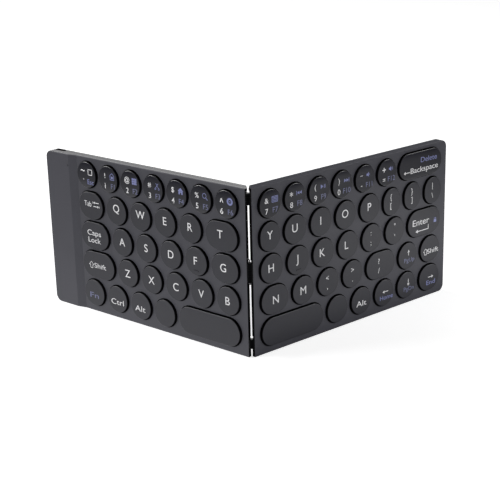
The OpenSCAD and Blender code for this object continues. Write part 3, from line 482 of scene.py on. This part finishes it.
def key_middles(side):
    """Body and middle of every key, as rows of (body, x, y)."""
    found = []
    for row, row_keys in enumerate(ROWS[side]):
        x, rib, places = MARGIN[side], NUMBER_RIB if row == NUMBER_ROW else RIB, []
        for body, width in row_keys:
            width = width or ROW_END[side] - x
            places.append((body, x + width / 2, FIRST_ROW + row * ROW_PITCH))
            x += width + rib
        found.append(places)
    return found


# ---------------------------------------------------------------- shapes of the legends
# Ink stands this far above the key's face and reaches as far into it, in millimetres.
INK = 0.02
# These marks aren't as tall as a capital, so their own middle is placed, and they are drawn larger.
HIGH_MARKS = ("^", "*", "~", "+")
# The marks of the number row are this much bolder; a 9 isn't, because its bowl would close.
BOLD, NOT_BOLD = 0.01, "9"
# A word that reaches no lower than this, in text sizes, and at least this share of a capital's
# height is placed by the middle of its capitals.
LOWEST, SHARE_OF_CAPITAL = -0.05, 0.8


def word_shape(text, height, width, bold):
    """Flat mesh of a word with its capitals `height` mm high, its middle at the origin.

    A width of 0 leaves it as wide as it is.
    """
    def flat_mesh(words):
        curve = bpy.data.curves.new("word", "FONT")
        curve.body = words
        curve.offset = bold
        curve.align_x = "CENTER"
        carrier = bpy.data.objects.new("word", curve)
        mesh = bpy.data.meshes.new_from_object(carrier)
        bpy.data.objects.remove(carrier)
        bpy.data.curves.remove(curve)
        return mesh

    capital = flat_mesh("H")
    tall = height / max(v.co.y for v in capital.vertices)
    bpy.data.meshes.remove(capital)
    mesh = flat_mesh(text)
    xs, ys = [v.co.x for v in mesh.vertices], [v.co.y for v in mesh.vertices]
    wide = width / (max(xs) - min(xs)) if width else tall
    by_capitals = (min(ys) > LOWEST and max(ys) * tall > SHARE_OF_CAPITAL * height
                   and text not in HIGH_MARKS)
    middle_y = height / 2 if by_capitals else (max(ys) + min(ys)) / 2 * tall
    mesh.transform(Matrix.Translation((-(max(xs) + min(xs)) / 2 * wide, -middle_y, 0))
                   @ Matrix.Diagonal((wide, tall, 1, 1)))
    return mesh


def sign_shape(outlines, scale):
    """Mesh of flat polygons, each a list of points in millimetres."""
    mesh = bpy.data.meshes.new("sign")
    points = [(x, y, 0) for outline in outlines for x, y in outline]
    faces, start = [], 0
    for outline in outlines:
        faces.append(list(range(start, start + len(outline))))
        start += len(outline)
    mesh.from_pydata(points, [], faces)
    mesh.transform(Matrix.Scale(scale, 4))
    return mesh


def block(x0, y0, x1, y1):
    """Filled rectangle between two corners."""
    return [(x0, y0), (x1, y0), (x1, y1), (x0, y1)]


def bar(x0, y0, x1, y1, thick=0.3):
    """Straight stroke between two points."""
    run = Vector((x1 - x0, y1 - y0))
    off = Vector((-run.y, run.x)).normalized() * thick / 2
    return [(x0 - off.x, y0 - off.y), (x1 - off.x, y1 - off.y), (x1 + off.x, y1 + off.y),
            (x0 + off.x, y0 + off.y)]


HEAD_HALF_WIDTH = 0.6  # of its length


def head(x, y, turn, size):
    """Arrow head with its point at x, y, pointing along turn, in degrees."""
    a = math.radians(turn)
    ahead, aside = Vector((math.cos(a), math.sin(a))), Vector((-math.sin(a), math.cos(a)))
    tip = Vector((x, y))
    return [tuple(tip), tuple(tip - ahead * size + aside * size * HEAD_HALF_WIDTH),
            tuple(tip - ahead * size - aside * size * HEAD_HALF_WIDTH)]


def arrow(length, turn, size, thick=0.4, y=0.0):
    """Arrow with its middle at the origin, or y higher."""
    a = math.radians(turn)
    end_x, end_y = math.cos(a) * length / 2, math.sin(a) * length / 2
    stop = 1 - size / length
    strokes = [bar(-end_x, -end_y, end_x * stop, end_y * stop, thick),
               head(end_x, end_y, turn, size)]
    return [[(px, py + y) for px, py in stroke] for stroke in strokes]


def ring(radius, thick, sides, x=0, y=0):
    """Round stroke, as four-sided pieces."""
    pieces = []
    for i in range(sides):
        a, b = (2 * math.pi * k / sides for k in (i, i + 1))
        inner, outer = radius - thick / 2, radius + thick / 2
        pieces.append([(x + inner * math.cos(a), y + inner * math.sin(a)),
                       (x + outer * math.cos(a), y + outer * math.sin(a)),
                       (x + outer * math.cos(b), y + outer * math.sin(b)),
                       (x + inner * math.cos(b), y + inner * math.sin(b))])
    return pieces


def frame_outline(width, height, thick):
    """Four strokes round a rectangle with its middle at the origin."""
    w, h = width / 2, height / 2
    return [bar(-w, h, w, h, thick), bar(-w, -h, w, -h, thick), bar(-w, -h, -w, h, thick),
            bar(w, -h, w, h, thick)]


def broad_arrow():
    """Outlined broad arrow pointing up."""
    corners = [(0, 2), (1.9, 0.1), (0.85, 0.1), (0.85, -1.7), (-0.85, -1.7), (-0.85, 0.1),
               (-1.9, 0.1)]
    return [bar(*start, *stop) for start, stop in zip(corners, corners[1:] + corners[:1])]


def speaker(waves):
    """Loudspeaker from the side, with strokes for the sound."""
    return [block(-1.6, -0.5, -0.9, 0.5), [(-0.9, -0.5), (0, -1.2), (0, 1.2), (-0.9, 0.5)],
            *[bar(0.5 + 0.6 * i, -0.5 - 0.3 * i, 0.5 + 0.6 * i, 0.5 + 0.3 * i, 0.25)
              for i in range(waves)]]


# Signs, drawn in millimetres from their middle
SIGNS = {
    "home box": frame_outline(3.1, 3.1, 0.35),
    "tab arrows": [*arrow(4.4, 180, 1.2, y=1.1), bar(-2.5, 0.5, -2.5, 1.7),
                   *arrow(4.4, 0, 1.2, y=-1.1), bar(2.5, -1.7, 2.5, -0.5)],
    "shift": broad_arrow(),
    "back arrow": arrow(5, 180, 1.6),
    "enter arrow": [*arrow(11, 180, 1.9, 0.45, y=-1), bar(5.3, -1.2, 5.3, 1.6, 0.45)],
    "up": arrow(3.3, 90, 1.5), "down": arrow(4.2, 270, 1.5), "left": arrow(4.5, 180, 1.5),
    "right": arrow(4.5, 0, 1.5),
    "padlock": [block(-1.1, -1.4, 1.1, 0.3), bar(-0.7, 0.3, -0.7, 1), bar(0.7, 0.3, 0.7, 1),
                bar(-0.8, 1.1, 0.8, 1.1)],
    "keyboard": [*frame_outline(3.5, 2.7, 0.3),
                 *[block(x, y, x + 0.55, y + 0.5)
                   for x in (-1.35, -0.62, 0.1, 0.82) for y in (-0.95, -0.2, 0.5)]],
    "previous": [bar(-1.7, -1, -1.7, 1), head(-1.4, 0, 180, 1.4), head(0.1, 0, 180, 1.4)],
    "play": [head(0.1, 0, 0, 1.7), bar(0.7, -0.9, 0.7, 0.9), bar(1.3, -0.9, 1.3, 0.9)],
    "next": [bar(1.7, -1, 1.7, 1), head(1.4, 0, 0, 1.4), head(-0.1, 0, 0, 1.4)],
    "quieter": speaker(1), "louder": speaker(2),
    "find": [*ring(1.15, 0.25, 16, -0.3, 0.3), bar(0.5, -0.5, 1.6, -1.6, 0.35)],
    "page": [bar(-1.3, -1.6, -1.3, 0.7), bar(-1.3, 0.6, 0, 1.7), bar(0, 1.7, 1.3, 0.6),
             bar(1.3, 0.7, 1.3, -1.6), bar(-1.4, -1.6, 1.4, -1.6), block(-0.6, -1.1, 0.6, 0.1)],
    "table": [block(x, y, x + 0.95, y + 0.95)
              for x in (-1.6, -0.5, 0.6) for y in (-1.6, -0.5, 0.6)],
    "house": [[(-1.8, 0.1), (0, 1.7), (1.8, 0.1)], block(-1.3, -1.5, -0.4, 0),
              block(0.4, -1.5, 1.3, 0), block(-0.4, -0.6, 0.4, 0)],
    "scissors": [bar(-1, -1, 0.8, 1.5, 0.25), bar(1, -1, -0.8, 1.5, 0.25),
                 *ring(0.4, 0.25, 10, -1.1, -1.3), *ring(0.4, 0.25, 10, 1.1, -1.3)],
    "dial": [*ring(1.35, 0.9, 20), bar(-0.5, 0, 0.5, 0, 0.4)],
}

# ---------------------------------------------------------------- legends of each key
# Heights of capitals in millimetres
LETTER_HEIGHT, PUNCTUATION_HEIGHT = 4.4, 3
# In the number row: sizes of a mark, of one that stands high, of a digit, of a function key's name
# and of its sign, and how far these last two are beside the digit and the mark
MARK, HIGH_MARK, DIGIT, FUNCTION, FUNCTION_SIGN = 2.8, 3.8, 3, 2.8, 1.12
NAME_BESIDE, SIGN_BESIDE = 5.9, 5.6
# Heights over the key's middle
MARK_UP, DIGIT_UP, FUNCTION_UP = 2.0, -3.7, -3.6


def legend(text, right, up, size=1, width=0, ink=WHITE):
    """A word or sign, right and up from the key's middle.

    Its size is the height of its capitals, or the scale of a sign. A width of 0 leaves a word as
    wide as it is.
    """
    return text, right, up, size, width, ink


def letter(text, right, up):
    """The only legend of a letter key."""
    return [legend(text, right, up, LETTER_HEIGHT)]


def two_marks(upper, lower, right, up, down):
    """The marks of a punctuation key, one above the other."""
    return [legend(upper, right, up, PUNCTUATION_HEIGHT),
            legend(lower, right, down, PUNCTUATION_HEIGHT)]


def number_legends(mark, digit, function, sign, right):
    """Mark above and digit below, and beside them the function key's name and its sign."""
    return [legend(mark, right, MARK_UP, HIGH_MARK if mark in HIGH_MARKS else MARK),
            legend(digit, right, DIGIT_UP, DIGIT),
            legend(function, right + NAME_BESIDE, FUNCTION_UP, FUNCTION, ink=GREY),
            legend(sign, right + SIGN_BESIDE, MARK_UP, FUNCTION_SIGN, ink=BLUE)]


# By side and row, each from the hinge outwards as in ROWS; the space keys and two more are bare
LEGENDS = {
    ("left", 4): [
        number_legends("^", "6", "F6", "dial", -2.5), number_legends("%", "5", "F5", "find", -2.3),
        number_legends("$", "4", "F4", "house", -2.2),
        number_legends("#", "3", "F3", "scissors", -2.1),
        number_legends("@", "2", "F2", "table", -2.0), number_legends("!", "1", "F1", "page", -2.1),
        [legend("home box", 3.2, 1.9), legend("`", -2.3, -3.6, 2.7), legend("~", -2.6, 2.4, 4),
         legend("Esc", 3.3, -3.7, 2.8, ink=BLUE)],
    ],
    ("left", 3): [letter("T", -0.8, 0.9), letter("R", 0, 0.9), letter("E", 0.2, 1.0),
                  letter("W", 0.3, 1.3), letter("Q", 0.2, 1.3),
                  [legend("Tab", -2.3, 1.0, 3, 5.6), legend("tab arrows", 4.4, 1.1)]],
    ("left", 2): [letter("G", -0.9, 0.4), letter("F", -0.3, 0.4), letter("D", 0.3, 0.4),
                  letter("S", 0.2, 0.4), letter("A", 0.2, 0.4),
                  [legend("Caps", -0.3, 1.1, 3, 11), legend("Lock", -0.3, -2.7, 3, 10)]],
    ("left", 1): [letter("B", -0.1, 0), letter("V", -0.2, 0), letter("C", -0.1, 0),
                  letter("X", 0, 0), letter("Z", 0, 0),
                  [legend("shift", -5.7, -0.5), legend("Shift", 1.4, -0.3, 2.8, 9.5)]],
    ("left", 0): [[], [], [legend("Alt", -0.4, -1.5, 3.2, 8)], [legend("Ctrl", 0, -1.5, 3.2, 10)],
                  [legend("Fn", -0.2, -1.5, 3.2, 7, GREY)]],
    ("right", 4): [
        number_legends("&", "7", "F7", "keyboard", -2.7),
        number_legends("*", "8", "F8", "previous", -2.8),
        number_legends("(", "9", "F9", "play", -2.9), number_legends(")", "0", "F10", "next", -2.9),
        number_legends("_", "-", "F11", "quieter", -3.0),
        number_legends("+", "=", "F12", "louder", -2.6),
        [legend("Delete", 6.7, 2.4, 2.9, 13.5, BLUE), legend("back arrow", -11.7, -3.3),
         legend("Backspace", 3, -3.3, 3.1, 23)],
    ],
    ("right", 3): [letter("Y", -0.3, 0.9), letter("U", -0.6, 0.9), letter("I", -0.5, 0.9),
                   letter("O", -0.8, 0.9), letter("P", -0.6, 0.9),
                   two_marks("{", "[", -1.1, 2.6, -2.4), two_marks("}", "]", -0.9, 2.6, -2.4),
                   two_marks("|", "\\", -0.5, 2.6, -2.8)],
    ("right", 2): [letter("H", -0.8, 0.4), letter("J", -0.9, 0.4), letter("K", -1.2, 0.4),
                   letter("L", -1.5, 0.4), two_marks(":", ";", -0.9, 2.6, -3.3),
                   two_marks('"', "'", -0.3, 2.9, -3.5),
                   [legend("Enter", -2.9, 0.8, 3.6, 14), legend("enter arrow", -1.9, -3.6),
                    legend("padlock", 9.2, -0.5, ink=BLUE)]],
    ("right", 1): [letter("N", 0.3, 0), letter("M", -0.3, 0), two_marks("<", ",", -1, 2.5, -3.8),
                   two_marks(">", ".", -0.3, 2.5, -4), two_marks("?", "/", -1.7, 2.5, -3),
                   [legend("up", 0.5, 2), legend("PgUp", 1.2, -2.9, 2.4, 8.5, GREY)],
                   [legend("shift", -4, -1.2), legend("Shift", 2.3, -1.2, 2.8, 9.5)]],
    ("right", 0): [[], [], [legend("Alt", -0.1, -1.4, 3.2, 8)],
                   [legend("left", 0.7, 0.6), legend("Home", 1.6, -2.8, 2.6, 10.5, BLUE)],
                   [legend("down", 1.3, 1.4), legend("PgDn", 1.8, -2.8, 2.4, 8.5, GREY)],
                   [legend("right", 1.3, 0.2), legend("End", 1.3, -3.1, 2.6, 7.5, BLUE)]],
}


def in_number_row(name):
    """Whether a body or node is in the row of the number keys, and has their finish."""
    return "number" in name or "backspace" in name


SAME_POINT = 1e-7  # metres


def print_legends(body, ink, shapes):
    """One closed thin piece of ink from flat meshes, riding on a key."""
    build = bmesh.new()
    for mesh in shapes:
        build.from_mesh(mesh)
        bpy.data.meshes.remove(mesh)
    bmesh.ops.remove_doubles(build, verts=build.verts, dist=SAME_POINT)
    grown = bmesh.ops.extrude_face_region(build, geom=list(build.faces))
    bmesh.ops.translate(build, vec=outward(side_of[body]) * 2 * INK * MM,
                        verts=[v for v in grown["geom"] if isinstance(v, bmesh.types.BMVert)])
    bmesh.ops.recalc_face_normals(build, faces=build.faces)
    name = "legend_%s_%s" % (body, ink)
    mesh = bpy.data.meshes.new(name)
    build.to_mesh(mesh)
    build.free()
    mesh.materials.append(inks[ink])
    piece = bpy.data.objects.new(name, mesh)
    bpy.context.scene.collection.objects.link(piece)
    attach(piece, body)


printed = {}
for side in READING:
    for row, row_keys in enumerate(key_middles(side)):
        for (body, x, y), legends in zip(row_keys, LEGENDS[side, row]):
            for text, right, up, size, width, ink in legends:
                if text in SIGNS:
                    mesh = sign_shape(SIGNS[text], size)
                else:
                    bolder = (row == NUMBER_ROW and ink == WHITE and not width
                              and text != NOT_BOLD)
                    mesh = word_shape(text, size, width, BOLD if bolder else 0.0)
                turn = Matrix.Diagonal((READING[side], 1, 1, 1))
                spot = Matrix.Translation((x + READING[side] * right, y + up, KEY_TOP - INK))
                mesh.transform(half_matrix(side) @ spot @ turn)
                printed.setdefault((body, ink), []).append(mesh)
for (body, ink), shapes in printed.items():
    print_legends(body, ink, shapes)

# ---------------------------------------------------------------- finishes on the CAD pieces
for name, piece in frame["nodes"].items():
    if name in side_of:
        finish = (number_finish if in_number_row(name) else key_finish)[side_of[name]]
    else:
        finish = finishes[name]
    piece.data.materials.clear()
    piece.data.materials.append(finish)

# ---------------------------------------------------------------- floor
PLAIN_WHITE = (1, 1, 1, 1)
FLOOR_CORNERS = (-6, -4, 6, 8)  # metres
# The white board glows enough to look white to the camera, and still keeps the shadow.
FLOOR_GLOW = 0.75
# The keyboard mirrors a pool of light on the floor. Its strength falls from near to far between
# these distances from the middle, in metres.
POOL_NEAR, POOL_FAR, FADES_FROM, FADES_TO = 1.7, 0.2, 0.12, 0.5
# Beside the foot of the right half the pool is dark, and whole this many millimetres further out.
FOOT_SHADE = 40

floor_mesh = bpy.data.meshes.new("floor")
floor_mesh.from_pydata([(x, y, 0) for x, y in block(*FLOOR_CORNERS)], [], [(0, 1, 2, 3)])
floor = bpy.data.objects.new("floor", floor_mesh)
bpy.context.scene.collection.objects.link(floor)
floor_paint, tree, place = new_material("floor_white_board")
board = add(tree, "ShaderNodeBsdfPrincipled",
            {"Base Color": linear("#F4F4F4"), "Roughness": 0.9, "Specular IOR Level": 0.0})
glow = add(tree, "ShaderNodeEmission", {"Color": PLAIN_WHITE, "Strength": FLOOR_GLOW})
lit = add(tree, "ShaderNodeAddShader", {0: board.outputs[0], 1: glow.outputs[0]})
away = add(tree, "ShaderNodeVectorMath", {0: place.outputs["Object"]}, operation="LENGTH")
pool = add(tree, "ShaderNodeMapRange",
           {"Value": away.outputs["Value"], "From Min": FADES_FROM, "From Max": FADES_TO,
            "To Min": POOL_NEAR, "To Max": POOL_FAR})
from_foot = add(tree, "ShaderNodeVectorMath",
                {0: place.outputs["Object"], 1: tuple(outward("right"))}, operation="DOT_PRODUCT")
foot = half_matrix("right").translation.dot(outward("right"))
shade = add(tree, "ShaderNodeMapRange",
            {"Value": from_foot.outputs["Value"], "From Min": foot,
             "From Max": foot + FOOT_SHADE * MM})
floor_place = add(tree, "ShaderNodeSeparateXYZ", {0: place.outputs["Object"]})
left_side = add(tree, "ShaderNodeMath", {0: floor_place.outputs["X"], 1: 0.0},
                operation="LESS_THAN")
kept = add(tree, "ShaderNodeMath", {0: shade.outputs[0], 1: left_side.outputs[0]},
           operation="MAXIMUM")
strength = add(tree, "ShaderNodeMath", {0: kept.outputs[0], 1: pool.outputs[0]},
               operation="MULTIPLY")
mirrored = add(tree, "ShaderNodeEmission",
               {"Color": PLAIN_WHITE, "Strength": strength.outputs[0]})
ray = add(tree, "ShaderNodeLightPath", {})
floor_mesh.materials.append(finished(floor_paint, add(
    tree, "ShaderNodeMixShader",
    {0: ray.outputs["Is Glossy Ray"], 1: lit.outputs[0], 2: mirrored.outputs[0]})))

# ---------------------------------------------------------------- room
# The camera sees white, and the room gives an even light. The keyboard mirrors it dim near the
# horizon and bright overhead; the heights between are sines of the angle above the horizon.
ROOM_LIGHT, MIRRORED_LOW, MIRRORED_OVERHEAD = 0.1, 0.35, 2.0
DIM_UP_TO, BRIGHT_FROM = 0.2, 0.45

world = bpy.data.worlds.new("studio")
bpy.context.scene.world = world
world.use_nodes = True
tree = world.node_tree
tree.nodes.clear()
way = add(tree, "ShaderNodeTexCoord", {})
height = add(tree, "ShaderNodeSeparateXYZ", {0: way.outputs["Generated"]})
fade = add(tree, "ShaderNodeMapRange",
           {"Value": height.outputs["Z"], "From Min": DIM_UP_TO, "From Max": BRIGHT_FROM,
            "To Min": MIRRORED_LOW, "To Max": MIRRORED_OVERHEAD})
room, mirrored, white = (
    add(tree, "ShaderNodeBackground", {"Color": PLAIN_WHITE, "Strength": strength})
    for strength in (ROOM_LIGHT, fade.outputs[0], 1.0))
ray = add(tree, "ShaderNodeLightPath", {})
around = add(tree, "ShaderNodeMixShader",
             {0: ray.outputs["Is Glossy Ray"], 1: room.outputs[0], 2: mirrored.outputs[0]})
straight = add(tree, "ShaderNodeMath",
               {0: ray.outputs["Is Camera Ray"], 1: ray.outputs["Is Transmission Ray"]},
               operation="MAXIMUM")
seen = add(tree, "ShaderNodeMixShader",
           {0: straight.outputs[0], 1: around.outputs[0], 2: white.outputs[0]})
add(tree, "ShaderNodeOutputWorld", {"Surface": seen.outputs[0]})

# ---------------------------------------------------------------- lamps
# Place, aim, power and size of each. The small card beside the right half's outer end lights the
# low keys there.
KEYBOARD_MIDDLE = (0, 0, 0.045)
LAMPS = {
    "softbox_left": ((-1.5, -0.15, 0.5), KEYBOARD_MIDDLE, 12.5, (0.6, 0.5)),
    "softbox_right": ((1.5, -0.15, 0.5), KEYBOARD_MIDDLE, 7, (0.6, 0.5)),
    "softbox_behind": ((-1.2, 0.9, 0.7), KEYBOARD_MIDDLE, 12, (0.8, 0.8)),
    "card_low_right": ((0.18, 0.0, 0.02), (0.1, 0.02, 0.03), 0.02, (0.1, 0.03)),
}
for name, (place, aim, power, (width, height)) in LAMPS.items():
    lamp = bpy.data.lights.new(name, "AREA")
    lamp.shape, lamp.size, lamp.size_y, lamp.energy = "RECTANGLE", width, height, power
    holder = bpy.data.objects.new(name, lamp)
    holder.location = place
    holder.visible_camera = False
    holder.rotation_euler = (Vector(aim) - Vector(place)).to_track_quat("-Z", "Y").to_euler()
    bpy.context.scene.collection.objects.link(holder)

bpy.context.scene.view_settings.view_transform = "Standard"
